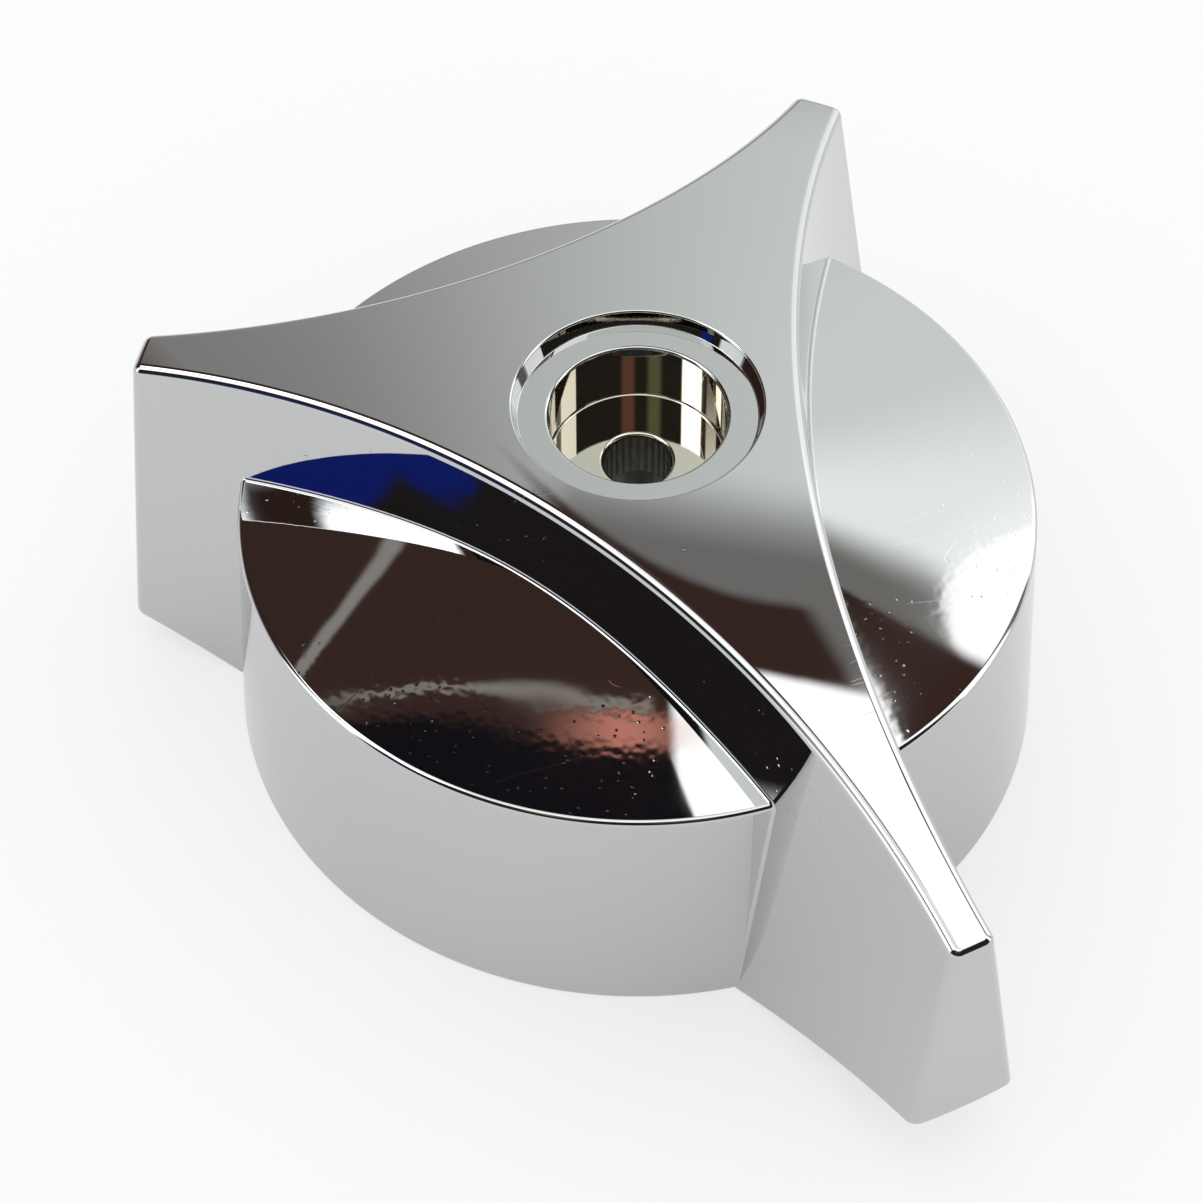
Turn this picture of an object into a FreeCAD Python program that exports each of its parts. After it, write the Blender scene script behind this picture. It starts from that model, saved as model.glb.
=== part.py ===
import FreeCAD, Part
import os
from math import cos, radians, sin, sqrt, tan

# Replacement tap handle: one hollow die casting, a round skirt with sloping shoulders and a
# three-armed star across it, one arm long and two short. Millimetres, +Z up. Heights are
# measured from the skirt's rim. The finished casting is then set down so that its origin is the
# centre of the stem socket's mouth. The long arm points along -Y.

V = FreeCAD.Vector

# Skirt and shoulders
SKIRT_RADIUS = 30.4
SKIRT_HEIGHT = 20.1
SKIRT_DRAFT = 2.5
SHOULDER_SLOPE = 12.0
SHOULDER_EDGE = 0.5

# Star, with its plan given in the plane of the rim
HEIGHT = 31.3
CROWN_RADIUS = 185.0
LONG_REACH = 49.8
SHORT_REACH = 39.1
SHORT_ANGLE = 130.4
LONG_TIP_WIDTH = 10.1
SHORT_TIP_WIDTH = 11.0
FLANK_WAIST = 16.1
BACK_WAIST = 21.5
FLANK_DRAFT = 7.8
TIP_DRAFT = 2.5
STAR_EDGE = 0.8
UNDERCUT_SLOPE = 19.5

# Casting walls
WALL = 2.4
ROOF = 2.6

# Recess for the index button, and the well below it for the screw's head
RECESS_RADIUS = 9.2
RECESS_DEPTH = 1.4
RECESS_DRAFT = 18.0
RECESS_EDGE = 0.25
WELL_RADIUS = 6.5
WELL_DEPTH = 5.0
WELL_EDGE = 0.25
SCREW_RADIUS = 2.5
SCREW_EDGE = 0.3
SCREW_WEB = 4.0

# Hub boss with the broached socket for the valve stem
BOSS_LIFT = 6.0
BOSS_DRAFT = 1.0
SOCKET_MOUTH_RADIUS = 4.8
SOCKET_MOUTH_LENGTH = 3.0
BROACH_RADIUS = 4.6
BROACH_CORNERS = 6

# Room that a cutting form needs beyond the metal
MARGIN = 1.0
TIP_SECTOR = 100.0

AXIS = V(0, 0, 1)
SIDEWAYS = V(1, 0, 0)
CENTRE = V(0, 0, 0)
LONG_DIRECTION = -90.0
DIRECTIONS = (LONG_DIRECTION, LONG_DIRECTION + SHORT_ANGLE, LONG_DIRECTION + 360.0 - SHORT_ANGLE)
REACHES = (LONG_REACH, SHORT_REACH, SHORT_REACH)
TIP_WIDTHS = (LONG_TIP_WIDTH, SHORT_TIP_WIDTH, SHORT_TIP_WIDTH)
WAISTS = (FLANK_WAIST, BACK_WAIST, FLANK_WAIST)
BLANK_RADIUS = max(REACHES) + max(TIP_WIDTHS)
RECESS_FLOOR = HEIGHT - RECESS_DEPTH
WELL_FLOOR = RECESS_FLOOR - WELL_DEPTH
SOCKET_FLOOR = WELL_FLOOR - SCREW_WEB
SOCKET_SHOULDER = BOSS_LIFT + SOCKET_MOUTH_LENGTH


def rise(angle):
    return tan(radians(angle))


def polar(radius, angle, z=0.0):
    return V(radius * cos(radians(angle)), radius * sin(radians(angle)), z)


def crown_drop(radius):
    """How far the crown has fallen at a distance from the axis."""
    return CROWN_RADIUS - sqrt(CROWN_RADIUS ** 2 - radius ** 2)


def rounding(before, corner, after, radius):
    """Start, middle and end of the arc that rounds a corner of an outline."""
    back = (before - corner).normalize()
    ahead = (after - corner).normalize()
    half = back.getAngle(ahead) / 2.0
    reach = radius / tan(half)
    inward = (back + ahead).normalize()
    return corner + back * reach, corner + inward * (radius / sin(half) - radius), corner + ahead * reach


def revolve(points, sweep=360.0, rounded=None, radius=0.0):
    """A solid of revolution from a closed (radius, height) outline, with one corner rounded."""
    corners = [V(r, 0, z) for r, z in points]
    arcs = {}
    if rounded and radius:
        before, corner, after = corners[rounded - 1:rounded + 2]
        arcs[rounded] = rounding(before, corner, after, radius)
    edges = []
    for i, corner in enumerate(corners):
        following = (i + 1) % len(corners)
        start = arcs[i][2] if i in arcs else corner
        end = arcs[following][0] if following in arcs else corners[following]
        edges.append(Part.makeLine(start, end))
        if following in arcs:
            edges.append(Part.Arc(*arcs[following]).toShape())
    return Part.Face(Part.Wire(edges)).revolve(CENTRE, AXIS, sweep)


def tip_corner(arm, side):
    """Corner of an arm's end in plan: side +1 is the anticlockwise one."""
    along = polar(REACHES[arm], DIRECTIONS[arm])
    across = polar(TIP_WIDTHS[arm] / 2.0, DIRECTIONS[arm] + 90.0)
    return along + across * side


def flank_cone(arm, wall):
    """The hollow side from one arm to the next: an arc in plan, drawn up as a cone."""
    following = (arm + 1) % 3
    halfway = (DIRECTIONS[arm] + DIRECTIONS[following]) / 2.0
    if following == 0:
        halfway += 180.0
    arc = Part.Circle(tip_corner(arm, 1), polar(WAISTS[arm], halfway), tip_corner(following, -1))
    radius = arc.Radius + wall / cos(radians(FLANK_DRAFT))
    low_radius = radius - MARGIN * rise(FLANK_DRAFT)
    high_radius = radius + (HEIGHT + MARGIN) * rise(FLANK_DRAFT)
    foot = V(arc.Center.x, arc.Center.y, -MARGIN)
    return Part.makeCone(low_radius, high_radius, HEIGHT + 2 * MARGIN, foot)


def tip_sector(arm, wall):
    """What lies beyond an arm's end face, which is round about the axis and drafted."""
    reach = REACHES[arm] - wall
    top = HEIGHT + MARGIN
    sector = revolve([
        (reach + MARGIN * rise(TIP_DRAFT), -MARGIN),
        (BLANK_RADIUS + MARGIN, -MARGIN),
        (BLANK_RADIUS + MARGIN, top),
        (reach - top * rise(TIP_DRAFT), top),
    ], TIP_SECTOR)
    sector.rotate(CENTRE, AXIS, DIRECTIONS[arm] - TIP_SECTOR / 2.0)
    return sector


def star(wall, roof):
    """The star's outer form, or with a wall and roof the core inside it."""
    blank = Part.makeCylinder(BLANK_RADIUS, HEIGHT)
    flanks = [flank_cone(arm, wall) for arm in range(3)]
    tips = [tip_sector(arm, wall) for arm in range(3)]
    crown = Part.makeSphere(CROWN_RADIUS, V(0, 0, HEIGHT - roof - CROWN_RADIUS), SIDEWAYS)
    return blank.cut(flanks + tips).common(crown)


def undercut():
    """The space below the arms, which rises outwards from the skirt's rim."""
    outer = BLANK_RADIUS + MARGIN
    return revolve([
        (SKIRT_RADIUS, 0),
        (SKIRT_RADIUS, -MARGIN),
        (outer, -MARGIN),
        (outer, (outer - SKIRT_RADIUS) * rise(UNDERCUT_SLOPE)),
    ])


def skirt(wall, edge=0.0):
    """Round skirt with its conical shoulder, or with a wall the space inside it."""
    top = SKIRT_HEIGHT - wall
    rim = SKIRT_RADIUS - wall
    shoulder = rim - top * rise(SKIRT_DRAFT)
    peak = top + shoulder * rise(SHOULDER_SLOPE)
    return revolve([(0, 0), (rim, 0), (shoulder, top), (0, peak)], rounded=2, radius=edge)


def boss():
    """Hub that carries the socket, the web and the well, and backs the recess."""
    radius = WELL_RADIUS + WALL
    low_radius = radius - (WELL_FLOOR - BOSS_LIFT) * rise(BOSS_DRAFT)
    collar_radius = RECESS_RADIUS + WALL
    collar_foot = RECESS_FLOOR - WALL
    return revolve([
        (0, BOSS_LIFT),
        (low_radius, BOSS_LIFT),
        (radius, WELL_FLOOR),
        (radius, collar_foot),
        (collar_radius, collar_foot),
        (collar_radius, RECESS_FLOOR),
        (0, RECESS_FLOOR),
    ])


def broach():
    """Twelve-point socket: two hexagons, one turned by half a side."""
    hexagon_step = 360.0 / BROACH_CORNERS
    prisms = []
    for turn in (0.0, hexagon_step / 2.0):
        angles = [turn + hexagon_step * corner for corner in range(BROACH_CORNERS)]
        corners = [polar(BROACH_RADIUS, angle, SOCKET_SHOULDER) for angle in angles]
        face = Part.Face(Part.makePolygon(corners + corners[:1]))
        prisms.append(face.extrude(AXIS * (SOCKET_FLOOR - SOCKET_SHOULDER)))
    return prisms[0].fuse(prisms[1])


def bores():
    """Recess, well, screw hole and socket, all on the axis."""
    top = HEIGHT + MARGIN
    through = SOCKET_FLOOR - MARGIN
    rim = HEIGHT - crown_drop(RECESS_RADIUS) - RECESS_EDGE
    rim_radius = RECESS_RADIUS - (HEIGHT - rim) * rise(RECESS_DRAFT)
    from_above = revolve([
        (0, top),
        (rim_radius + top - rim, top),
        (rim_radius, rim),
        (RECESS_RADIUS - RECESS_DEPTH * rise(RECESS_DRAFT), RECESS_FLOOR),
        (WELL_RADIUS + WELL_EDGE, RECESS_FLOOR),
        (WELL_RADIUS, RECESS_FLOOR - WELL_EDGE),
        (WELL_RADIUS, WELL_FLOOR),
        (SCREW_RADIUS + SCREW_EDGE, WELL_FLOOR),
        (SCREW_RADIUS, WELL_FLOOR - SCREW_EDGE),
        (SCREW_RADIUS, through),
        (0, through),
    ])
    socket_mouth = Part.makeCylinder(SOCKET_MOUTH_RADIUS, SOCKET_SHOULDER)
    return [from_above, broach(), socket_mouth]


def rounded_star():
    """The star with its crown and arm corners rounded, and its arms undercut."""
    solid = star(0.0, 0.0)
    upper_edges = [edge for edge in solid.Edges if edge.BoundBox.ZMax > SKIRT_HEIGHT]
    return solid.makeFillet(STAR_EDGE, upper_edges).cut(undercut())


def tap_handle():
    body = skirt(0.0, SHOULDER_EDGE).fuse(rounded_star())
    body = body.cut([skirt(WALL), star(WALL, ROOF)])
    casting = body.fuse(boss()).cut(bores()).removeSplitter().Solids[0]
    casting.translate(V(0, 0, -BOSS_LIFT))
    return casting


os.makedirs("parts", exist_ok=True)
handle = tap_handle()
handle.exportStep("parts/tap_handle.step")
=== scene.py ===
# %% [markdown]
# # A chrome tap handle
#
# This lesson dresses a replacement tap handle: one hollow die casting, chrome plated, with a round
# skirt and a three-armed star across it. The measured solid is already packed as a fixed frame, so
# the scene never changes its size. What it adds is a smooth, dense skin for the mirror finish,
# because chrome shows every facet, and the finish itself.

# %% Load the fixed frame
from math import atan2, cos, hypot, pi, radians, sin, sqrt, tan

import bmesh
import bpy
from mathutils import Matrix, Vector


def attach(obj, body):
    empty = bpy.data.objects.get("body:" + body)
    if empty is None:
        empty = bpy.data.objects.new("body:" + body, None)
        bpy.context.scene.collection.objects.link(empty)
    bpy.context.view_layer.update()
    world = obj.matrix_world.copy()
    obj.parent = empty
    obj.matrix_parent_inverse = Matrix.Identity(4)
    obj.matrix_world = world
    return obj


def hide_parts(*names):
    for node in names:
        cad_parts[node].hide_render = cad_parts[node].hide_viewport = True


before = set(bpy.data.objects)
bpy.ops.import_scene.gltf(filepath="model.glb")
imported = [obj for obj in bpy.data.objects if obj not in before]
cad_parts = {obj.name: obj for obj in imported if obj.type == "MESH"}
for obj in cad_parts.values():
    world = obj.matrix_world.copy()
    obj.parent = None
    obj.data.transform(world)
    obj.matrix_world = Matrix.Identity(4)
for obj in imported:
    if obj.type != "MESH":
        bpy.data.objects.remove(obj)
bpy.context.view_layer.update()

scene = bpy.context.scene
scene.view_settings.view_transform = "Standard"

MM = 0.001

# %% [markdown]
# ## The handle's sizes
#
# The skin uses the sizes that the casting was drawn with, in millimetres, and heights measured
# from the skirt's rim. The frame's origin is in the mouth of the stem socket, so the finished mesh
# is set down by that much at the end.

# %% Sizes
SKIRT_RADIUS = 30.4
SKIRT_HEIGHT = 20.1
SKIRT_DRAFT = radians(2.5)
SHOULDER_SLOPE = radians(12.0)
SHOULDER_EDGE = 0.5
RIM_EDGE = 0.25
INNER_EDGE = 0.8
HEIGHT = 31.3
CROWN_RADIUS = 185.0
CROWN_CENTRE = Vector((0, 0, HEIGHT - CROWN_RADIUS))
LONG_ARM = -90.0
SPREAD = 130.4
DIRECTIONS = [radians(a) for a in (LONG_ARM, LONG_ARM + SPREAD, LONG_ARM + 360.0 - SPREAD)]
REACHES = (49.8, 39.1, 39.1)
TIP_WIDTHS = (10.1, 11.0, 11.0)
WAISTS = (16.1, 21.5, 16.1)
FLANK_DRAFT = radians(7.8)
TIP_DRAFT = radians(2.5)
STAR_EDGE = 0.8
CORNER = 0.9
CREASE = 0.4
UNDERCUT = tan(radians(19.5))
WALL = 2.4
ROOF = 2.6
BOSS_LIFT = 6.0
ARMS = range(3)

# %% [markdown]
# ## Describing the star by its plan
#
# Seen from above, the star is three round arm ends joined by three hollow arcs, with a small
# rounding at each corner. The walls lean in as they rise, so every height has its own plan. Each
# column of the mesh follows one place on that plan: an arm, the part of the outline, and how far
# along it.


# %% The plan of the star
def polar(radius, angle):
    return Vector((radius * cos(angle), radius * sin(angle)))


def arc_through(a, b, c):
    """Centre and radius of the circle through three points in plan."""
    d = 2 * (a.x * (b.y - c.y) + b.x * (c.y - a.y) + c.x * (a.y - b.y))
    aa, bb, cc = a.length_squared, b.length_squared, c.length_squared
    centre = Vector((
        (aa * (b.y - c.y) + bb * (c.y - a.y) + cc * (a.y - b.y)) / d,
        (aa * (c.x - b.x) + bb * (a.x - c.x) + cc * (b.x - a.x)) / d,
    ))
    return centre, (a - centre).length


def tip_corner(arm, side):
    across = polar(TIP_WIDTHS[arm] / 2, DIRECTIONS[arm] + pi / 2)
    return polar(REACHES[arm], DIRECTIONS[arm]) + across * side


FLANKS = []
for arm in ARMS:
    following = (arm + 1) % 3
    halfway = (DIRECTIONS[arm] + DIRECTIONS[following]) / 2 + (pi if following == 0 else 0)
    waist = polar(WAISTS[arm], halfway)
    FLANKS.append(arc_through(tip_corner(arm, 1), waist, tip_corner(following, -1)))
    print("flank", arm, "radius", round(FLANKS[-1][1], 2), "mm")


# %% Where circles in plan meet
def meet(reach, centre, radius, towards):
    """Plan point at a reach from the axis and a radius from a flank's centre, on one side."""
    gap = centre.length
    along = (reach ** 2 - radius ** 2 + gap ** 2) / (2 * gap)
    half = sqrt(max(0.0, reach ** 2 - along ** 2))
    axis = centre / gap
    across = Vector((-axis.y, axis.x)) * half
    return max((axis * along + across, axis * along - across), key=lambda p: p.dot(towards))


def ball_seat(arm, flank, z):
    """Centre of the corner's rounding, touching the arm's end and a flank, at height z."""
    centre, radius = FLANKS[flank]
    reach = REACHES[arm] - z * tan(TIP_DRAFT) - CORNER
    return meet(reach, centre, radius + z * tan(FLANK_DRAFT) + CORNER, polar(1, DIRECTIONS[arm]))


def turn_between(start, end, t):
    """Unit vector part of the way from one direction to another, the short way round."""
    a = atan2(start.y, start.x)
    swing = (atan2(end.y, end.x) - a + pi) % (2 * pi) - pi
    return polar(1, a + swing * t)


# %% A column of the star's wall
def leaning(plan_normal, draft):
    """The outward normal of a wall that leans in by its draft."""
    return Vector((plan_normal.x * cos(draft), plan_normal.y * cos(draft), sin(draft)))


def wall_point(column, z, inset=0.0):
    """Plan point, outward plan normal and draft of a column at height z, moved in by inset."""
    arm, part, t = column
    following = (arm + 1) % 3
    before = (arm + 2) % 3
    first = ball_seat(arm, before, z)
    last = ball_seat(arm, arm, z)
    if part == "end":
        normal = turn_between(first, last, t)
        return normal * (REACHES[arm] - z * tan(TIP_DRAFT) - inset), normal, TIP_DRAFT
    if part == "flank":
        centre, radius = FLANKS[arm]
        other = ball_seat(following, arm, z)
        normal = -turn_between(last - centre, other - centre, t)
        return centre - normal * (radius + z * tan(FLANK_DRAFT) + inset), normal, FLANK_DRAFT
    if part == "corner in":
        seat, start, end = first, FLANKS[before][0] - first, first
        draft = FLANK_DRAFT + (TIP_DRAFT - FLANK_DRAFT) * t
    else:
        seat, start, end = last, last, FLANKS[arm][0] - last
        draft = TIP_DRAFT + (FLANK_DRAFT - TIP_DRAFT) * t
    normal = turn_between(start, end, t)
    return seat + normal * (CORNER - inset), normal, draft


def star_columns(flank_steps, corner_steps, end_steps):
    columns = []
    for arm in ARMS:
        for part, steps in (("corner in", corner_steps), ("end", end_steps),
                            ("corner out", corner_steps), ("flank", flank_steps)):
            columns += [(arm, part, i / steps) for i in range(steps)]
    return columns


# %% [markdown]
# ## Carrying exact normals
#
# A mirror shows the surface's normals, not its outline. Averaged normals go wrong beside a cut, so
# every face corner stores the true normal of the cone, ball or rounding it lies on. The Boolean
# modifier carries that attribute through each cut, and at the end it becomes the mesh's own
# normals. The star follows curves that no single operator makes, so it is extruded ring by ring
# and each new ring is set on its curve.


# %% Rings of vertices, with their normals
def new_skin():
    bm = bmesh.new()
    bm.loops.layers.float_vector.new("true_normal")
    return bm


def first_ring(bm, points):
    ring = bmesh.ops.create_circle(bm, segments=len(points), radius=1.0)["verts"]
    for vert, point in zip(ring, points):
        vert.co = point
    return ring


def ring_edges(bm, ring):
    return [bm.edges.get((vert, ring[i - 1])) for i, vert in enumerate(ring)]


def next_ring(bm, ring, points, low_normals=None, high_normals=None):
    """Extrudes a ring to new points and stores the normals of the band of faces between."""
    layer = bm.loops.layers.float_vector["true_normal"]
    grown = bmesh.ops.extrude_edge_only(bm, edges=ring_edges(bm, ring))["geom"]
    fresh = {item for item in grown if isinstance(item, bmesh.types.BMVert)}
    place, following = {}, []
    for i, vert in enumerate(ring):
        above = next(e.other_vert(vert) for e in vert.link_edges if e.other_vert(vert) in fresh)
        above.co = points[i]
        following.append(above)
        place[vert] = low_normals and low_normals[i]
        place[above] = high_normals and high_normals[i]
    for face in grown:
        if isinstance(face, bmesh.types.BMFace):
            for loop in face.loops:
                loop[layer] = place[loop.vert] or (0, 0, 0)
    return following


def close_ring(bm, ring):
    bmesh.ops.contextual_create(bm, geom=ring_edges(bm, ring))


def outward(bm):
    """Faces point outwards: a closed form that comes out with a negative volume is turned."""
    bmesh.ops.recalc_face_normals(bm, faces=bm.faces)
    if bm.calc_volume(signed=True) < 0:
        bmesh.ops.reverse_faces(bm, faces=bm.faces)


def to_object(bm, name):
    """A mesh object; the corners of its flat faces, which store no normal yet, get the face's."""
    layer = bm.loops.layers.float_vector["true_normal"]
    outward(bm)
    for face in bm.faces:
        face.smooth = True
        for loop in face.loops:
            if loop[layer].length < 0.5:
                loop[layer] = face.normal
    mesh = bpy.data.meshes.new(name)
    bm.to_mesh(mesh)
    bm.free()
    made = bpy.data.objects.new(name, mesh)
    scene.collection.objects.link(made)
    return made


# %% [markdown]
# ## The star
#
# The star grows from a ring below its foot: up the leaning walls, over the rolled edge, and in
# across the very flat crown. The rolled edge is a ball of 0.8 mm radius run round inside the
# corner, so its centre is found for each column where it touches both the wall and the crown. The
# wall's place depends on the height and the height on the place, so a few rounds settle them. A
# Bevel modifier on a plain extrusion would be quicker, but its corners drift where the walls lean.


# %% Build the star
SETTLING = 6


def crown_height(distance):
    return CROWN_CENTRE.z + sqrt(CROWN_RADIUS ** 2 - distance ** 2)


def rolled_edge(column):
    """Ball centre, wall normal and crown normal for one column of the star."""
    z = HEIGHT - 2 * STAR_EDGE
    for _ in range(SETTLING):
        plan, normal, draft = wall_point(column, z, STAR_EDGE / cos(FLANK_DRAFT))
        z = CROWN_CENTRE.z + sqrt((CROWN_RADIUS - STAR_EDGE) ** 2 - plan.length_squared)
    centre = Vector((plan.x, plan.y, z))
    return centre, leaning(normal, draft), (centre - CROWN_CENTRE).normalized()


def build_star(columns, wall_steps, roll_steps, crown_steps):
    rolls = [rolled_edge(column) for column in columns]
    tops = [centre.z + STAR_EDGE * n.z for centre, n, _ in rolls]
    foot = -2.0
    bm = new_skin()

    def wall_ring(step):
        points, normals = [], []
        for column, high in zip(columns, tops):
            z = foot + (high - foot) * step / wall_steps
            plan, normal, draft = wall_point(column, z)
            points.append(Vector((plan.x, plan.y, z)))
            normals.append(leaning(normal, draft))
        return points, normals

    points, normals = wall_ring(0)
    ring = base = first_ring(bm, points)
    for step in range(1, wall_steps + 1):
        points, upper = wall_ring(step)
        ring = next_ring(bm, ring, points, normals, upper)
        normals = upper
    for step in range(1, roll_steps + 1):
        t = step / roll_steps
        upper = [wall_normal.slerp(crown_normal, t) for _, wall_normal, crown_normal in rolls]
        points = [centre + n * STAR_EDGE for (centre, _, _), n in zip(rolls, upper)]
        ring = next_ring(bm, ring, points, normals, upper)
        normals = upper
    edge, middle = points, 4.0
    for step in range(1, crown_steps + 1):
        points = []
        for p in edge:
            reach = hypot(p.x, p.y)
            now = reach + (middle - reach) * step / crown_steps
            points.append(Vector((p.x * now / reach, p.y * now / reach, crown_height(now))))
        upper = [(p - CROWN_CENTRE).normalized() for p in points]
        ring = next_ring(bm, ring, points, normals, upper)
        normals = upper
    close_ring(bm, ring)
    close_ring(bm, base)
    return to_object(bm, "star")


star = build_star(star_columns(72, 6, 12), 14, 8, 24)
print("star faces:", len(star.data.polygons))

# %% [markdown]
# ## Turned forms
#
# The skirt, the space inside it, the hub boss and the plain bores are round about the screw's
# axis, so each is a profile spun once round it. A Screw modifier would spin it too, but couldn't
# store normals. A profile is a path through corners, some of them rounded, and each line of it
# knows its normal at both ends, so that a straight line stays crisp and an arc stays round.


# %% Profiles
def straight(a, b, parts=1):
    """Profile lines from a to b, with the outward normal on the right-hand side."""
    n = Vector((b.y - a.y, a.x - b.x)).normalized()
    return [(a.lerp(b, i / parts), a.lerp(b, (i + 1) / parts), n, n) for i in range(parts)]


def rounded_path(corners, rounds, parts=1, arc_steps=6):
    """Profile through corners, each rounded by its own radius, from axis to axis."""
    corners = [Vector(corner) for corner in corners]
    lines = []
    here = corners[0]
    for before, corner, after, radius in zip(corners, corners[1:], corners[2:], rounds[1:]):
        if radius == 0:
            lines += straight(here, corner, parts)
            here = corner
            continue
        back, ahead = (before - corner).normalized(), (after - corner).normalized()
        half = back.angle(ahead) / 2
        enter, leave = corner + back * (radius / tan(half)), corner + ahead * (radius / tan(half))
        hub = corner + (back + ahead).normalized() * (radius / sin(half))
        lines += straight(here, enter, parts)
        bulge = 1 if back.x * ahead.y - back.y * ahead.x < 0 else -1
        for i in range(arc_steps):
            u = turn_between(enter - hub, leave - hub, i / arc_steps)
            w = turn_between(enter - hub, leave - hub, (i + 1) / arc_steps)
            lines.append((hub + u * radius, hub + w * radius, u * bulge, w * bulge))
        here = leave
    return lines + straight(here, corners[-1], parts)


# %% Spin a profile
def turned(name, lines, steps=256, hollow=False, axis=Vector((0, 0))):
    """Solid of revolution; hollow turns its stored normals in, for a form that is taken away."""
    bm = new_skin()
    row = bm.verts.layers.int.new("row")
    points = [lines[0][0]] + [line[1] for line in lines]
    verts = [bm.verts.new((axis.x + p.x, axis.y, p.y)) for p in points]
    for i, vert in enumerate(verts):
        vert[row] = i
    edges = [bm.edges.new(pair) for pair in zip(verts, verts[1:])]
    bmesh.ops.spin(bm, geom=verts + edges, cent=(axis.x, axis.y, 0), axis=(0, 0, 1),
                   angle=2 * pi, steps=steps, use_merge=True)
    bmesh.ops.remove_doubles(bm, verts=bm.verts, dist=1e-4)
    layer = bm.loops.layers.float_vector["true_normal"]
    for face in bm.faces:
        first = min(loop.vert[row] for loop in face.loops)
        middle = face.calc_center_median().xy - axis
        for loop in face.loops:
            n = lines[first][2 + loop.vert[row] - first]
            out = loop.vert.co.xy - axis
            out = (out if out.length > 1e-3 else middle).normalized() * n.x
            loop[layer] = Vector((out.x, out.y, n.y)) * (-1 if hollow else 1)
    bm.verts.layers.int.remove(row)
    return to_object(bm, name)


# %% Skirt and the space inside it
def skirt_corners(wall, drop):
    """Axis, rim, shoulder and peak of the skirt, with its foot lowered by drop."""
    top = SKIRT_HEIGHT - wall
    rim = SKIRT_RADIUS - wall
    shoulder = rim - top * tan(SKIRT_DRAFT)
    peak = top + shoulder * tan(SHOULDER_SLOPE)
    return [(0, -drop), (rim + drop * tan(SKIRT_DRAFT), -drop), (shoulder, top), (0, peak)]


rim_and_shoulder = [0, RIM_EDGE, SHOULDER_EDGE, 0]
skirt = turned("skirt", rounded_path(skirt_corners(0, 0), rim_and_shoulder, 6, 10), 384)
cavity = turned("cavity", rounded_path(skirt_corners(WALL, 1.0), [0, 0, INNER_EDGE, 0], 4))
reach = max(REACHES) + 12
undercut = turned("undercut", rounded_path([
    (0, -5),
    (reach, -5),
    (reach, (reach - SKIRT_RADIUS) * UNDERCUT),
    (SKIRT_RADIUS - 0.05, 0),
    (SKIRT_RADIUS - 3.0, 4.0),
    (0, 4.0),
], [0] * 6, 4), hollow=True)

# %% Boss and bores
RECESS_RADIUS = 9.2
RECESS_DEPTH = 1.4
RECESS_RISE = tan(radians(18.0))
WELL_RADIUS = 6.5
WELL_DEPTH = 5.0
SCREW_RADIUS = 2.5
SCREW_WEB = 4.0
MOUTH_RADIUS = 4.8
MOUTH_DEPTH = 3.0
BROACH_RADIUS = 4.6
BOSS_DRAFT = radians(1.0)
RECESS_FLOOR = HEIGHT - RECESS_DEPTH
WELL_FLOOR = RECESS_FLOOR - WELL_DEPTH
SOCKET_FLOOR = WELL_FLOOR - SCREW_WEB
SOCKET_SHOULDER = BOSS_LIFT + MOUTH_DEPTH

boss_radius = WELL_RADIUS + WALL
boss = turned("boss", rounded_path([
    (0, BOSS_LIFT),
    (boss_radius - (WELL_FLOOR - BOSS_LIFT) * tan(BOSS_DRAFT), BOSS_LIFT),
    (boss_radius, WELL_FLOOR),
    (boss_radius, RECESS_FLOOR - WALL),
    (RECESS_RADIUS + WALL, RECESS_FLOOR - WALL),
    (RECESS_RADIUS + WALL, HEIGHT + 3),
    (0, HEIGHT + 3),
], [0, 0.5, 0, 0, 0, 0, 0], 2), hollow=True)

rim_radius = RECESS_RADIUS - (HEIGHT - crown_height(RECESS_RADIUS)) * RECESS_RISE
from_above = turned("from_above", rounded_path([
    (0, SOCKET_FLOOR - 1.0),
    (SCREW_RADIUS, SOCKET_FLOOR - 1.0),
    (SCREW_RADIUS, WELL_FLOOR),
    (WELL_RADIUS, WELL_FLOOR),
    (WELL_RADIUS, RECESS_FLOOR),
    (RECESS_RADIUS - RECESS_DEPTH * RECESS_RISE, RECESS_FLOOR),
    (rim_radius, crown_height(rim_radius)),
    (rim_radius + 0.6, crown_height(rim_radius) + 0.02),
    (rim_radius + 0.6, HEIGHT + 2),
    (0, HEIGHT + 2),
], [0, 0, 0.3, 0.15, 0.25, 0.1, 0.25, 0, 0, 0]), 384, hollow=True)
mouth = turned("mouth", rounded_path([
    (0, -1.0),
    (MOUTH_RADIUS, -1.0),
    (MOUTH_RADIUS, SOCKET_SHOULDER),
    (0, SOCKET_SHOULDER),
], [0] * 4), 96, hollow=True)

# %% [markdown]
# ## The socket
#
# The valve's stem goes into a socket with twelve points, cut by a broach up to the screw's web.
# Two hexagonal prisms, one turned by half a side, would cut it in two goes. One prism with all
# the corners and the crossings between them cuts it in one, and leaves no slivers.


# %% The broached socket
def build_broach():
    """Twelve-point prism: the corners of two hexagons, with their crossings between."""
    sides = 24
    inner = BROACH_RADIUS * cos(radians(30)) / cos(radians(15))
    low, high = SOCKET_SHOULDER - 1, SOCKET_FLOOR
    bm = new_skin()
    plan = [polar(inner if i % 2 else BROACH_RADIUS, 2 * pi * i / sides) for i in range(sides)]
    base = first_ring(bm, [Vector((p.x, p.y, low)) for p in plan])
    close_ring(bm, next_ring(bm, base, [Vector((p.x, p.y, high)) for p in plan]))
    close_ring(bm, base)
    layer = bm.loops.layers.float_vector["true_normal"]
    outward(bm)
    for face in bm.faces:
        for loop in face.loops:
            loop[layer] = -face.normal
    return to_object(bm, "broach")


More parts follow.
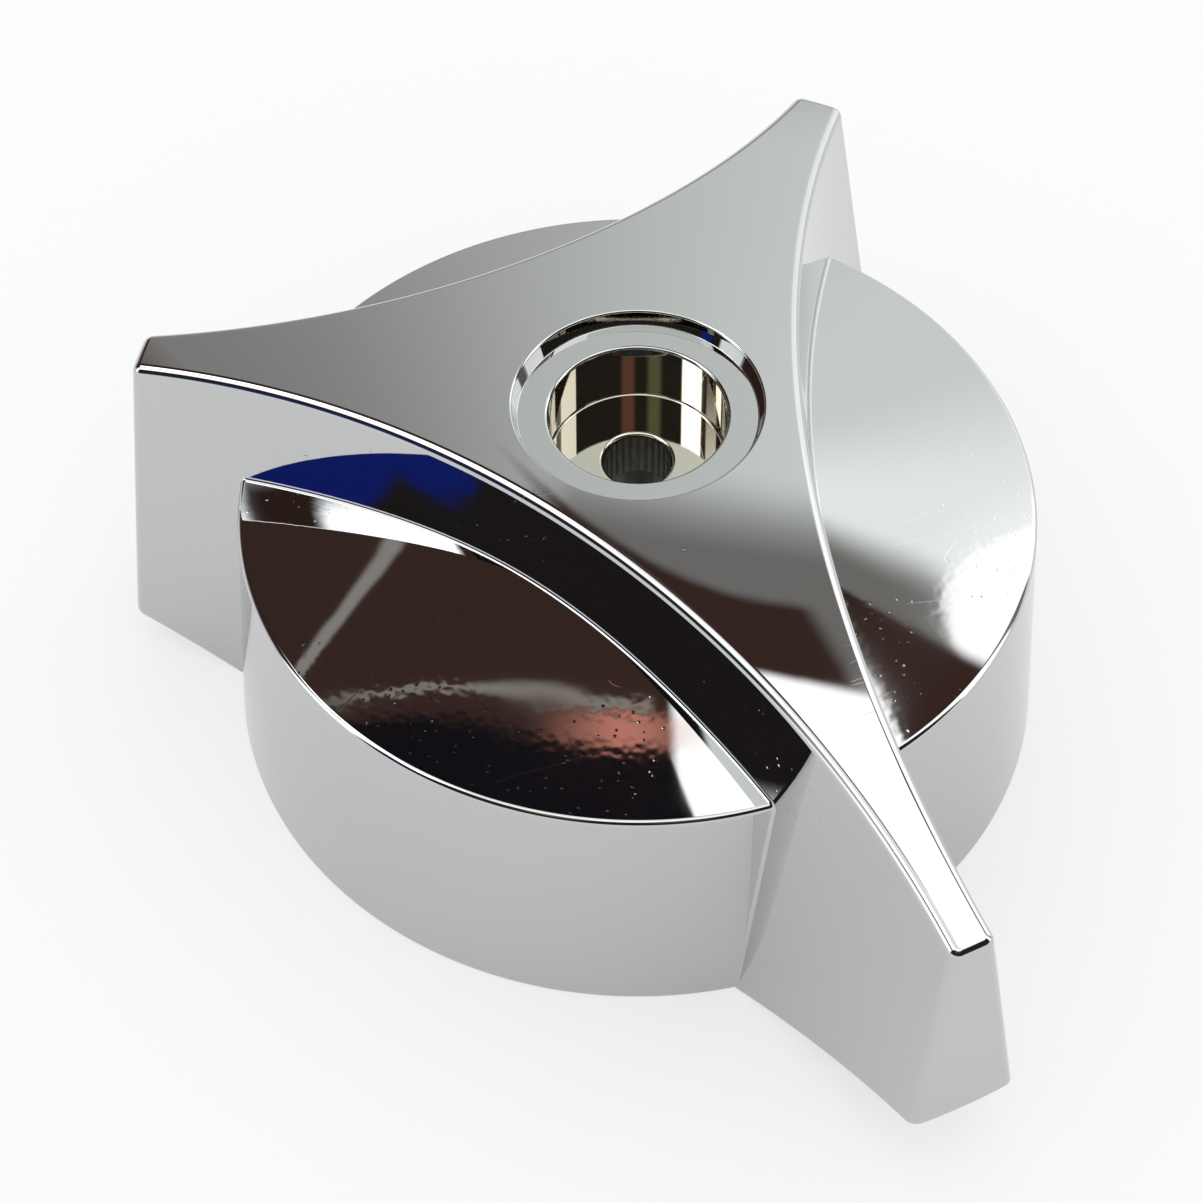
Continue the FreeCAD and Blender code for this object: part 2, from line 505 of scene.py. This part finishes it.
broach = build_broach()
print("turned forms:", {o.name: len(o.data.polygons) for o in (skirt, cavity, boss, from_above)})

# %% [markdown]
# ## Rounded creases
#
# Where a flank stands on the shoulder and runs down the skirt, the casting has a small hollow
# rounding, and it shows as a bright line in the plating. A Bevel modifier would lose the exact
# normals beside it, so it is built and joined on: a ball rolls along that corner, touching the
# flank and the skirt. The strip of surface between its two touching points is the rounding, and
# with a root inside the metal it is a closed bar that joins the rest. It is sunk by a few
# thousandths of a millimetre so that its edges meet the walls cleanly.

# %% Roll a ball along a flank's foot
SINK = 0.006
ROOT = 1.75 * CREASE
CREASE_START = 0.3


def skirt_offset_path(steps):
    """Where the ball's centre runs up the skirt and over its shoulder edge: place and normal."""
    _, rim, shoulder, _ = [Vector(corner) for corner in skirt_corners(0, 0)]
    up, across = (shoulder - rim).normalized(), Vector((-cos(SHOULDER_SLOPE), sin(SHOULDER_SLOPE)))
    half = (-up).angle(across) / 2
    reach = SHOULDER_EDGE / tan(half)
    hub = shoulder + (across - up).normalized() * (SHOULDER_EDGE / sin(half))
    wall = Vector((up.y, -up.x))
    start, end = rim + up * CREASE_START, shoulder - up * reach
    path = [(start.lerp(end, i / steps) + wall * CREASE, wall) for i in range(steps)]
    slope = Vector((sin(SHOULDER_SLOPE), cos(SHOULDER_SLOPE)))
    for i in range(steps + 1):
        n = turn_between(wall, slope, i / steps)
        path.append((hub + n * (SHOULDER_EDGE + CREASE), n))
    return path


def ball_path(flank, steps):
    """Ball centre, wall normal and skirt normal all the way along a flank's foot."""
    centre, radius = FLANKS[flank]
    sides = [polar(1, DIRECTIONS[flank]), polar(1, DIRECTIONS[(flank + 1) % 3])]

    def rows(towards):
        found = []
        for place, n in skirt_offset_path(steps):
            far = radius + place.y * tan(FLANK_DRAFT) - CREASE / cos(FLANK_DRAFT)
            found.append((meet(place.x, centre, far, towards), place.y, n))
        return found

    first, last = rows(sides[0]), rows(sides[1])
    over = []
    _, _, shoulder, _ = skirt_corners(0, 0)
    z = SKIRT_HEIGHT
    for i in range(1, 6 * steps):
        away = turn_between(first[-1][0] - centre, last[-1][0] - centre, i / (6 * steps))
        for _ in range(SETTLING):
            far = radius + z * tan(FLANK_DRAFT) - CREASE / cos(FLANK_DRAFT)
            plan = centre + away * far
            rise = (shoulder[0] - plan.length) * tan(SHOULDER_SLOPE)
            z = shoulder[1] + rise + CREASE / cos(SHOULDER_SLOPE)
        over.append((plan, z, first[-1][2]))
    path = []
    for plan, z, n in first + over + last[::-1]:
        out = plan.normalized()
        on_skirt = Vector((out.x * n.x, out.y * n.x, n.y))
        on_wall = leaning((centre - plan).normalized(), FLANK_DRAFT)
        path.append((Vector((plan.x, plan.y, z)), on_wall, on_skirt))
    return path


# %% Make a strip of it
def crease_bar(flank, steps=10, arc_steps=6):
    bm = new_skin()
    ring = None
    for ball, on_wall, on_skirt in ball_path(flank, steps):
        ball = ball - (on_wall + on_skirt) * SINK
        arc = [on_wall.slerp(on_skirt, i / arc_steps) for i in range(arc_steps + 1)]
        root = (on_wall + on_skirt).normalized()
        points = [ball - n * CREASE for n in arc] + [ball - root * ROOT]
        now = arc + [root]
        if ring is None:
            ring = base = first_ring(bm, points)
        else:
            ring = next_ring(bm, ring, points, before, now)
        before = now
    close_ring(bm, ring)
    close_ring(bm, base)
    return to_object(bm, "crease")


creases = [crease_bar(flank) for flank in ARMS]
print("crease faces:", [len(o.data.polygons) for o in creases])

# %% [markdown]
# ## The core
#
# A die casting is thin, so a core fills most of the star while the metal is poured. A Solidify
# modifier would also leave an even wall, but it would follow every small rounding. So the core is
# made as it is in the foundry: it has the star's own form, smaller by the wall and the roof. It is
# a domed blank, cut by the same three cones a wall's width further out, and cut off short of each
# arm's end.


# %% Shape the core
def domed_blank():
    reach, foot, steps = max(REACHES) + 2, -1.5, 12
    rows = [reach * i / steps for i in range(steps, -1, -1)]
    path = [(0, foot), (reach, foot)] + [(row, crown_height(row) - ROOF) for row in rows]
    return turned("core", rounded_path(path, [0] * len(path)), 128)


def flank_post(centre, radius):
    """The cone that closes the core's side between two arms, a wall's width thicker."""
    rise = tan(FLANK_DRAFT)
    thick = radius + WALL / cos(FLANK_DRAFT)
    low, high = -3.0, 36.0
    path = [(0, low), (thick + low * rise, low), (thick + high * rise, high), (0, high)]
    return turned("post", rounded_path(path, [0] * 4), 512, hollow=True, axis=centre)


def trim_end(obj, arm):
    """Cuts the core off a wall's width before the arm's end, along the end's draft."""
    plan = polar(1, DIRECTIONS[arm])
    normal = leaning(plan, TIP_DRAFT)
    place = plan * (REACHES[arm] - WALL)
    bm = bmesh.new()
    bm.from_mesh(obj.data)
    layer = bm.loops.layers.float_vector["true_normal"]
    cut = bmesh.ops.bisect_plane(
        bm, geom=bm.verts[:] + bm.edges[:] + bm.faces[:], dist=1e-6,
        plane_co=(place.x, place.y, 0), plane_no=normal, clear_outer=True)
    edges = [e for e in cut["geom_cut"] if isinstance(e, bmesh.types.BMEdge)]
    for face in bmesh.ops.contextual_create(bm, geom=edges)["faces"]:
        for loop in face.loops:
            loop[layer] = normal
    outward(bm)
    bm.to_mesh(obj.data)
    bm.free()


# %% [markdown]
# ## Putting the casting together
#
# The Boolean modifier joins and cuts the closed forms as the casting is thought of: star, skirt
# and creases are one outer form, the core and the skirt's inside are one hollow with the boss left
# standing in it, and the bores are cut last. Its Manifold solver only takes closed forms, and in
# return the result is always closed.


# %% Join and cut
def combine(target, tool, operation):
    modifier = target.modifiers.new(operation, "BOOLEAN")
    modifier.operation = operation
    modifier.solver = "MANIFOLD"
    modifier.object = tool
    depsgraph = bpy.context.evaluated_depsgraph_get()
    result = bpy.data.meshes.new_from_object(target.evaluated_get(depsgraph))
    target.modifiers.clear()
    used = [target.data, tool.data]
    target.data = result
    bpy.data.objects.remove(tool)
    for mesh in used:
        bpy.data.meshes.remove(mesh)


def turn_in(obj):
    """Reverses the stored normals of a form that is taken away, so they face into the hollow."""
    for item in obj.data.attributes["true_normal"].data:
        item.vector = -Vector(item.vector)


def mark_inside(obj, value):
    """Says how little of the plating reaches these faces, from 0 outside to 1 in a hollow."""
    layer = obj.data.attributes.new("inside", "FLOAT", "FACE")
    layer.data.foreach_set("value", [value] * len(obj.data.polygons))


core = domed_blank()
for centre, radius in FLANKS:
    combine(core, flank_post(centre, radius), "DIFFERENCE")
for arm in ARMS:
    trim_end(core, arm)
combine(cavity, core, "UNION")
combine(cavity, boss, "DIFFERENCE")
turn_in(cavity)
mark_inside(star, 0.0)
for hollow in (cavity, broach, mouth):
    mark_inside(hollow, 1.0)
combine(star, undercut, "DIFFERENCE")
combine(star, skirt, "UNION")
for crease in creases:
    combine(star, crease, "UNION")
for tool in (cavity, from_above, broach, mouth):
    combine(star, tool, "DIFFERENCE")
print("casting:", len(star.data.vertices), "vertices", len(star.data.polygons), "faces")

# %% [markdown]
# ## One skin in the frame
#
# The joined mesh is in millimetres above the skirt's rim. It is scaled to metres and set down to
# the frame's origin in its own vertices, so that the object itself stays at the origin, unturned.
# Then the stored normals become the mesh's own. A Boolean cut leaves a few slivers whose normal
# was mixed from two forms, and those take the normal of their face.


# %% Give the mesh its stored normals and set it in the frame
def finish_skin(obj, name):
    mesh = obj.data
    mesh.transform(Matrix.Scale(MM, 4) @ Matrix.Translation((0, 0, -BOSS_LIFT)))
    normals = [Vector(item.vector) for item in mesh.attributes["true_normal"].data]
    replaced = 0
    for face in mesh.polygons:
        for i in face.loop_indices:
            if normals[i].length < 0.5 or normals[i].dot(face.normal) < 0.2:
                normals[i] = face.normal.copy()
                replaced += 1
            normals[i].normalize()
    mesh.attributes.remove(mesh.attributes["true_normal"])
    mesh.normals_split_custom_set(normals)
    obj.name = mesh.name = name
    print("corners whose stored normal was replaced:", replaced, "of", len(normals))
    return obj


casting = finish_skin(star, "chrome_casting")

# %% [markdown]
# ## Wiring nodes
#
# Both the plating and the light around it are written as node graphs. A few small helpers keep
# them readable: some that do sums, one that fades smoothly from 0 to 1 over a range, one that
# is 1 between two limits with soft edges, and one that mixes two colours.


# %% Sums
def wire(socket, value):
    """Links a node's output to a socket, or sets the socket to a plain value."""
    if isinstance(value, bpy.types.NodeSocket):
        socket.id_data.links.new(value, socket)
    else:
        socket.default_value = value


def sums(tree, operation, *values):
    node = tree.nodes.new("ShaderNodeMath")
    node.operation = operation
    for socket, value in zip(node.inputs, values):
        wire(socket, value)
    return node.outputs["Value"]


def times(tree, first, *others):
    for value in others:
        first = sums(tree, "MULTIPLY", first, value)
    return first


def plus(tree, first, *others):
    for value in others:
        first = sums(tree, "ADD", first, value)
    return first


# %% Fades, colours and noise
def fade(tree, value, low, high, start=0.0, end=1.0):
    """Goes smoothly from start to end while the value goes from low to high."""
    node = tree.nodes.new("ShaderNodeMapRange")
    node.interpolation_type = "SMOOTHSTEP"
    for name, amount in (("Value", value), ("From Min", low), ("From Max", high),
                         ("To Min", start), ("To Max", end)):
        wire(node.inputs[name], amount)
    return node.outputs["Result"]


def between(tree, value, low, high, soft):
    """1 between two limits, 0 outside them, with edges as wide as soft; None is no limit."""
    edges = []
    if low is not None:
        edges.append(fade(tree, value, low - soft / 2, low + soft / 2))
    if high is not None:
        edges.append(fade(tree, value, high - soft / 2, high + soft / 2, 1.0, 0.0))
    return times(tree, *edges) if edges else 1.0


def blend_colours(tree, factor, first, second):
    node = tree.nodes.new("ShaderNodeMix")
    node.data_type = "RGBA"
    for index, amount in ((0, factor), (6, first), (7, second)):
        wire(node.inputs[index], amount)
    return node.outputs[2]


def noise(tree, place, scale, detail=0.0):
    """Soft noise from 0 to 1; scale says how many bumps fit on a metre."""
    node = tree.nodes.new("ShaderNodeTexNoise")
    wire(node.inputs["Vector"], place)
    node.inputs["Scale"].default_value = scale
    node.inputs["Detail"].default_value = detail
    return node.outputs["Fac"]


# %% [markdown]
# ## Chrome plating
#
# Bright chrome is a metal mirror that gives back a little over half of the light. What makes it
# look real is in its surface, not its colour: the polished casting under the plate is never quite
# even, so reflections run in slow waves; pits in the die casting show through as sparkling specks,
# in frosted patches on the shoulders; handling leaves a few hair-fine scratches. A picture of such
# marks could be wrapped round the part, but it would blur close up and show its seams, so each
# kind is worked out from a noise in space. They are heights in millimetres, mostly a few
# thousandths, added up and fed to one Bump node. Smudges only change how sharp the mirror is.
#
# The bath hardly reaches into hollows: the well shows the yellowish nickel below the chrome, and
# inside the skirt the plate gives way to the dull casting.


# %% Slow waves, in millimetres
def waves(tree, place):
    """The slow unevenness of a polished casting, and a finer ripple on it."""
    slow = times(tree, noise(tree, place, 85.0), 0.013)
    fine = times(tree, noise(tree, place, 420.0), 0.0010)
    return plus(tree, slow, fine)


# %% Pits
PIT_DEPTH = 0.006
FROST_HEIGHT = 0.0008
SHOULDERS = (13.8, 19.0)


def pits(tree, place, height):
    """Small round pits, thickest in patches on the shoulders, where the plate is frosted too."""
    cells = tree.nodes.new("ShaderNodeTexVoronoi")
    wire(cells.inputs["Vector"], place)
    cells.inputs["Scale"].default_value = 3000.0
    dimple = fade(tree, cells.outputs["Distance"], 0.05, 0.42, 1.0, 0.0)
    patch = times(tree, fade(tree, noise(tree, place, 75.0), 0.46, 0.62),
                  between(tree, height, *SHOULDERS, 0.6))
    share = plus(tree, times(tree, patch, 0.09), 0.001)
    pick = tree.nodes.new("ShaderNodeSeparateColor")
    wire(pick.inputs["Color"], cells.outputs["Color"])
    chosen = sums(tree, "LESS_THAN", pick.outputs["Red"], share)
    depth = times(tree, dimple, chosen, pick.outputs["Green"], -PIT_DEPTH)
    frost = times(tree, patch, noise(tree, place, 1700.0), FROST_HEIGHT)
    return plus(tree, depth, frost)


# %% Scratches
SCRATCH_DEPTH = 0.0010
SCRATCH_WIDTH = 0.00045


def scratches(tree, place, turn, stretch, somewhere):
    """Hair-fine lines one way: a noise pulled out long, cut where it crosses its middle."""
    turned_place = tree.nodes.new("ShaderNodeMapping")
    wire(turned_place.inputs["Vector"], place)
    turned_place.inputs["Rotation"].default_value = (0.0, 0.0, turn)
    turned_place.inputs["Scale"].default_value = (1.0, stretch, 1.0)
    across = sums(tree, "SUBTRACT", noise(tree, turned_place.outputs["Vector"], 45.0), 0.5)
    line = fade(tree, sums(tree, "ABSOLUTE", across), 0.0, SCRATCH_WIDTH * stretch, 1.0, 0.0)
    return times(tree, line, somewhere, -SCRATCH_DEPTH)


# %% Where the plating is thin
PLATING_REACH = 3.0


def hollows(tree, place, height, reach):
    """Shares of bare casting, inside the skirt, and of nickel, in the well."""
    hollow = tree.nodes.new("ShaderNodeAttribute")
    hollow.attribute_name = "inside"
    ragged = plus(tree, height, times(tree, noise(tree, place, 160.0, 1.0), 2 * PLATING_REACH))
    bare = times(tree, hollow.outputs["Fac"], fade(tree, ragged, -PLATING_REACH, PLATING_REACH))
    ring = RECESS_FLOOR - BOSS_LIFT
    in_well = times(tree, fade(tree, reach, WELL_RADIUS - 0.1, WELL_RADIUS + 0.2, 1.0, 0.0),
                    fade(tree, height, ring - 1.3, ring - 0.1, 1.0, 0.0),
                    sums(tree, "SUBTRACT", 1.0, hollow.outputs["Fac"]))
    return bare, in_well


# %% Make the chrome
CHROME = ((0.535, 0.548, 0.552, 1), (0.566, 0.566, 0.556, 1))
NICKEL = (0.61, 0.59, 0.50, 1)
ZINC = ((0.30, 0.30, 0.30, 1), (0.46, 0.46, 0.45, 1))


def make_chrome():
    material = bpy.data.materials.new("chrome_plating")
    material.use_nodes = True
    tree = material.node_tree
    shader = tree.nodes["Principled BSDF"]
    place = tree.nodes.new("ShaderNodeTexCoord").outputs["Object"]
    axes = tree.nodes.new("ShaderNodeSeparateXYZ")
    wire(axes.inputs["Vector"], place)
    height = times(tree, axes.outputs["Z"], 1 / MM)
    squares = [sums(tree, "POWER", axes.outputs[name], 2.0) for name in "XY"]
    reach = times(tree, sums(tree, "SQRT", plus(tree, *squares)), 1 / MM)
    bare, in_well = hollows(tree, place, height, reach)

    plate = blend_colours(tree, noise(tree, place, 38.0), *CHROME)
    plate = blend_colours(tree, in_well, plate, NICKEL)
    grain = noise(tree, place, 900.0)
    zinc = blend_colours(tree, grain, *ZINC)
    wire(shader.inputs["Base Color"], blend_colours(tree, bare, plate, zinc))
    shader.inputs["Metallic"].default_value = 1.0

    smudge = fade(tree, noise(tree, place, 55.0, 2.0), 0.50, 0.75, 0.018, 0.060)
    wire(shader.inputs["Roughness"],
         plus(tree, smudge, times(tree, bare, 0.40), times(tree, in_well, 0.03)))

    somewhere = fade(tree, noise(tree, place, 110.0), 0.60, 0.68)
    relief = plus(tree, waves(tree, place), pits(tree, place, height),
                  scratches(tree, place, 0.5, 5.0, somewhere),
                  scratches(tree, place, -0.8, 7.0, somewhere),
                  times(tree, grain, bare, 0.05))
    bump = tree.nodes.new("ShaderNodeBump")
    bump.inputs["Strength"].default_value = 1.0
    bump.inputs["Distance"].default_value = MM
    wire(bump.inputs["Height"], relief)
    wire(shader.inputs["Normal"], bump.outputs["Normal"])
    print("chrome nodes:", len(tree.nodes))
    return material


# %% Plate the casting
casting.data.materials.clear()
casting.data.materials.append(make_chrome())
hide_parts("tap_handle")
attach(casting, "root")

# %% [markdown]
# ## The camera
#
# A camera could be placed by eye until the picture looks right. This one was fitted, with the
# handle's form, to the outlines in the picture. Angles come first: how high it looks from, how far
# it is turned round the handle, and a slight roll. Then it is backed off along its own line of
# sight and moved a little sideways and up, which frames the picture without any lens shift.

# %% Camera
ELEVATION, ROLL, TURN = radians(50.6158), radians(-0.2029), radians(27.1026)
DISTANCE, TO_RIGHT, TO_TOP = 325.85, -2.7206, 5.453

right = Vector((cos(TURN), -sin(TURN), 0))
away_flat = Vector((sin(TURN), cos(TURN), 0))
up = away_flat * sin(ELEVATION) + Vector((0, 0, cos(ELEVATION)))
back = Vector((0, 0, sin(ELEVATION))) - away_flat * cos(ELEVATION)
right, up = right * cos(ROLL) + up * sin(ROLL), up * cos(ROLL) - right * sin(ROLL)
position = back * DISTANCE + right * TO_RIGHT + up * TO_TOP - Vector((0, 0, BOSS_LIFT))

camera_data = bpy.data.cameras.new("camera")
camera_data.sensor_fit = "HORIZONTAL"
camera_data.sensor_width = 36.0
camera_data.lens = 125.72
camera_data.clip_start = 0.01
camera = bpy.data.objects.new("camera", camera_data)
scene.collection.objects.link(camera)
camera.matrix_world = (Matrix.Translation(position * MM)
                       @ Matrix((right, up, back)).transposed().to_4x4())
scene.camera = camera
print("camera:", round(DISTANCE), "mm from the handle")

# %% [markdown]
# ## The floor
#
# The handle stands on a white table. A matt white paint takes its shadow. More lamps would make it
# read as pure white, but they would also light the handle. So to the camera, and to rays that come
# off metal or through glass, part of the floor is a plain white of strength 1.

# %% Paint for the floor
SEEN_WHITE = 0.6
MIRRORED_WHITE = 0.3


def white_paint():
    material = bpy.data.materials.new("floor_paint")
    material.use_nodes = True
    tree = material.node_tree
    tree.nodes.remove(tree.nodes["Principled BSDF"])
    paint = tree.nodes.new("ShaderNodeBsdfDiffuse")
    paint.inputs["Color"].default_value = (0.97, 0.97, 0.97, 1)
    white = tree.nodes.new("ShaderNodeEmission")
    white.inputs["Strength"].default_value = 1.0
    rays = tree.nodes.new("ShaderNodeLightPath").outputs
    seen = sums(tree, "MAXIMUM", rays["Is Camera Ray"], rays["Is Transmission Ray"])
    both = tree.nodes.new("ShaderNodeMixShader")
    wire(both.inputs["Fac"], plus(tree, times(tree, seen, SEEN_WHITE),
                                  times(tree, rays["Is Glossy Ray"], MIRRORED_WHITE)))
    wire(both.inputs[1], paint.outputs["BSDF"])
    wire(both.inputs[2], white.outputs["Emission"])
    wire(tree.nodes["Material Output"].inputs["Surface"], both.outputs["Shader"])
    return material


# %% Lay the floor
FLOOR_HALF = 6.0

floor_mesh = bpy.data.meshes.new("floor")
bm = bmesh.new()
bmesh.ops.create_grid(bm, x_segments=1, y_segments=1, size=FLOOR_HALF)
bm.transform(Matrix.Translation((0, 0, -BOSS_LIFT * MM)))
bm.to_mesh(floor_mesh)
bm.free()
floor = bpy.data.objects.new("floor", floor_mesh)
scene.collection.objects.link(floor)
floor_mesh.materials.append(white_paint())
print("floor:", 2 * FLOOR_HALF, "m across, at the skirt's rim")

# %% [markdown]
# ## The studio
#
# The light is a plain white world of strength 1, soft from all sides, under which a grey card
# comes out as grey as it is. That alone would leave chrome blank, because chrome shows nothing but
# its surroundings. So what metal shows is the studio as a product photographer would set it up: a
# pale backdrop, big soft lights above and to the sides, and dark flags that draw the edges. Real
# lamps and cards would do it too, but every one of them needs placing and hiding; here the world's
# own colour is painted by direction instead, at the same level on the whole. A direction is turned
# so that y points straight away from where the picture was taken, and x to the right. The studio
# stays where it is when the camera moves. On the walls a zone is given by two angles in degrees:
# side, 0 behind the handle and plus to the right, and height above the floor. Overhead a zone is a
# strip on a flat ceiling, with a slope and a bow. Each zone is one more coat over those before it.

# %% Directions in the studio
studio = bpy.data.worlds.new("studio")
scene.world = studio
studio.use_nodes = True
sky = studio.node_tree
ray = sky.nodes.new("ShaderNodeTexCoord").outputs["Generated"]


def along(direction):
    """How far a ray's direction goes along another."""
    node = sky.nodes.new("ShaderNodeVectorMath")
    node.operation = "DOT_PRODUCT"
    wire(node.inputs[0], ray)
    wire(node.inputs[1], direction)
    return node.outputs["Value"]


across = along((cos(TURN), -sin(TURN), 0))
away = along((sin(TURN), cos(TURN), 0))
above = along((0, 0, 1))
overhead_half = sums(sky, "GREATER_THAN", above, 0.0)
side = sums(sky, "DEGREES", sums(sky, "ARCTAN2", across, away))
height = sums(sky, "DEGREES", sums(sky, "ARCSINE", above))

# %% Painting a zone
coats = [(1.0, 1.0, 1.0, 1)]


def paint(name, mask, shade):
    """Lays one more coat over those before it, and labels its node."""
    coats.append(blend_colours(sky, mask, coats[-1], (*shade, 1)))
    coats[-1].node.label = name


def on_wall(name, shade, side_from, side_to, low, high, soft_side, soft_height):
    mask = times(sky, between(sky, side, side_from, side_to, soft_side),
                 between(sky, height, low, high, soft_height))
    paint(name, mask, shade)


def overhead(name, shade, x_from, x_to, lean, y_from, y_to, rise, bow, soft_x, soft_y):
    """A strip whose ends lean about y = 0.25, and whose long sides rise and bow with x."""
    shift = times(sky, sums(sky, "SUBTRACT", away, 0.25), lean)
    x = sums(sky, "SUBTRACT", across, shift)
    line = times(sky, across, plus(sky, times(sky, across, bow), rise))
    y = sums(sky, "SUBTRACT", away, line)
    mask = times(sky, between(sky, x, x_from, x_to, soft_x),
                 between(sky, y, y_from, y_to, soft_y), overhead_half)
    paint(name, mask, shade)


# %% Walls: name, shade, side from and to, height from and to, soft edges
WHITE = (1.88, 1.88, 1.88)
PALE = (1.25, 1.30, 1.28)
BROWN = (0.060, 0.032, 0.026)
BLUE = (0.013, 0.03, 0.31)

on_wall("ceiling", (1.82, 1.84, 1.82), None, None, 55, None, 0, 10)
on_wall("dark walls", (0.030, 0.025, 0.023), None, None, 8, 56, 0, 6)
on_wall("red card", (0.22, 0.10, 0.08), 160, 176, 36, 58, 7, 6)
on_wall("olive card", (0.20, 0.20, 0.12), -166, -150, 36, 58, 9, 6)
on_wall("backdrop", (1.00, 1.05, 1.03), -48, 82, None, 58, 20, 10)
on_wall("backdrop's shaded foot", (0.62, 0.64, 0.63), -48, 12, None, 20, 10, 14)
on_wall("grey card on the left", (0.34, 0.33, 0.32), -90, -5, None, 60, 44, 4)
on_wall("soft light on the right", (1.35, 1.40, 1.38), 26, 82, None, 50, 10, 6)
on_wall("dark flag on the left", BROWN, -88, -27, 14, 66, 4, 8)

# %% Overhead: name, shade, x from and to, lean, y from and to, rise, bow, soft edges
overhead("middle of the ceiling", PALE, -0.36, 0.36, 0.0, -0.22, 0.15, 0.0, 0.0, 0.06, 0.06)
overhead("flag over the front shoulder", BROWN,
         -0.60, 0.075, 0.30, 0.14, 0.535, -0.482, 0.0, 0.025, 0.035)
overhead("grey beam", (0.25, 0.24, 0.23), -0.06, None, 0.0, 0.40, 0.58, -0.16, 0.0, 0.04, 0.09)
overhead("flag over the crown", BROWN,
         0.115, 0.277, -0.565, 0.40, 0.526, -0.724, 2.385, 0.025, 0.014)
overhead("light along the long arm", WHITE, 0.06, None, 0.30, 0.10, 0.425, -0.20, 0.0, 0.02, 0.012)
overhead("flag over the right shoulder", BROWN,
         0.276, 0.42, 0.30, 0.33, 0.440, 0.0, 0.0, 0.006, 0.012)
overhead("glow round the right light", (1.52, 1.56, 1.54),
         0.358, None, 0.10, 0.53, 0.70, 0.0, 0.0, 0.022, 0.07)
overhead("light over the right shoulder", WHITE,
         0.3313, None, 0.20, 0.441, 0.66, 0.0, 0.0, 0.003, 0.02)
overhead("black flag", (0.010, 0.009, 0.012),
         None, 0.0127, -1.9, 0.10, 0.231, -0.0416, 1.208, 0.006, 0.007)
overhead("warm glow beside the black flag", (1.10, 0.42, 0.32),
         -0.06, 0.040, 0.0, 0.2315, 0.2395, -0.0416, 1.208, 0.20, 0.004)
overhead("thin strip", (0.38, 0.34, 0.30),
         -0.36, 0.03, 0.0, 0.2407, 0.2437, -0.0416, 1.208, 0.02, 0.0025)
overhead("strip's upright", (0.38, 0.35, 0.32),
         -0.3607, -0.3545, 0.0, 0.425, 0.56, 0.0, 0.0, 0.003, 0.02)

# %% Small lights and cards on the walls, laid last
on_wall("lamp for the creases", (3.40, 3.40, 3.40), -79, -56, 49, 66, 3, 4)
on_wall("lamp for the well", (4.00, 4.00, 4.10), -120, -89, 44, 62, 3, 5)
on_wall("tall light on the left", (1.80, 1.82, 1.85), -109, -84, None, 46, 3, 4)
on_wall("blue card", BLUE, -127, -117.2, 8, 18, 0.8, 4)
on_wall("blue card's foot", BLUE, -127, -114.8, 7, 12.1, 0.6, 0.15)
print("studio:", len(coats) - 1, "zones in", len(sky.nodes), "nodes")

# %% Plain light for everything, the painted studio for metal
light = sky.nodes["Background"]
light.inputs["Color"].default_value = (1.0, 1.0, 1.0, 1)
light.inputs["Strength"].default_value = 1.0
shown = sky.nodes.new("ShaderNodeBackground")
wire(shown.inputs["Color"], coats[-1])
choose = sky.nodes.new("ShaderNodeMixShader")
wire(choose.inputs["Fac"], sky.nodes.new("ShaderNodeLightPath").outputs["Is Glossy Ray"])
wire(choose.inputs[1], light.outputs["Background"])
wire(choose.inputs[2], shown.outputs["Background"])
wire(sky.nodes["World Output"].inputs["Surface"], choose.outputs["Shader"])
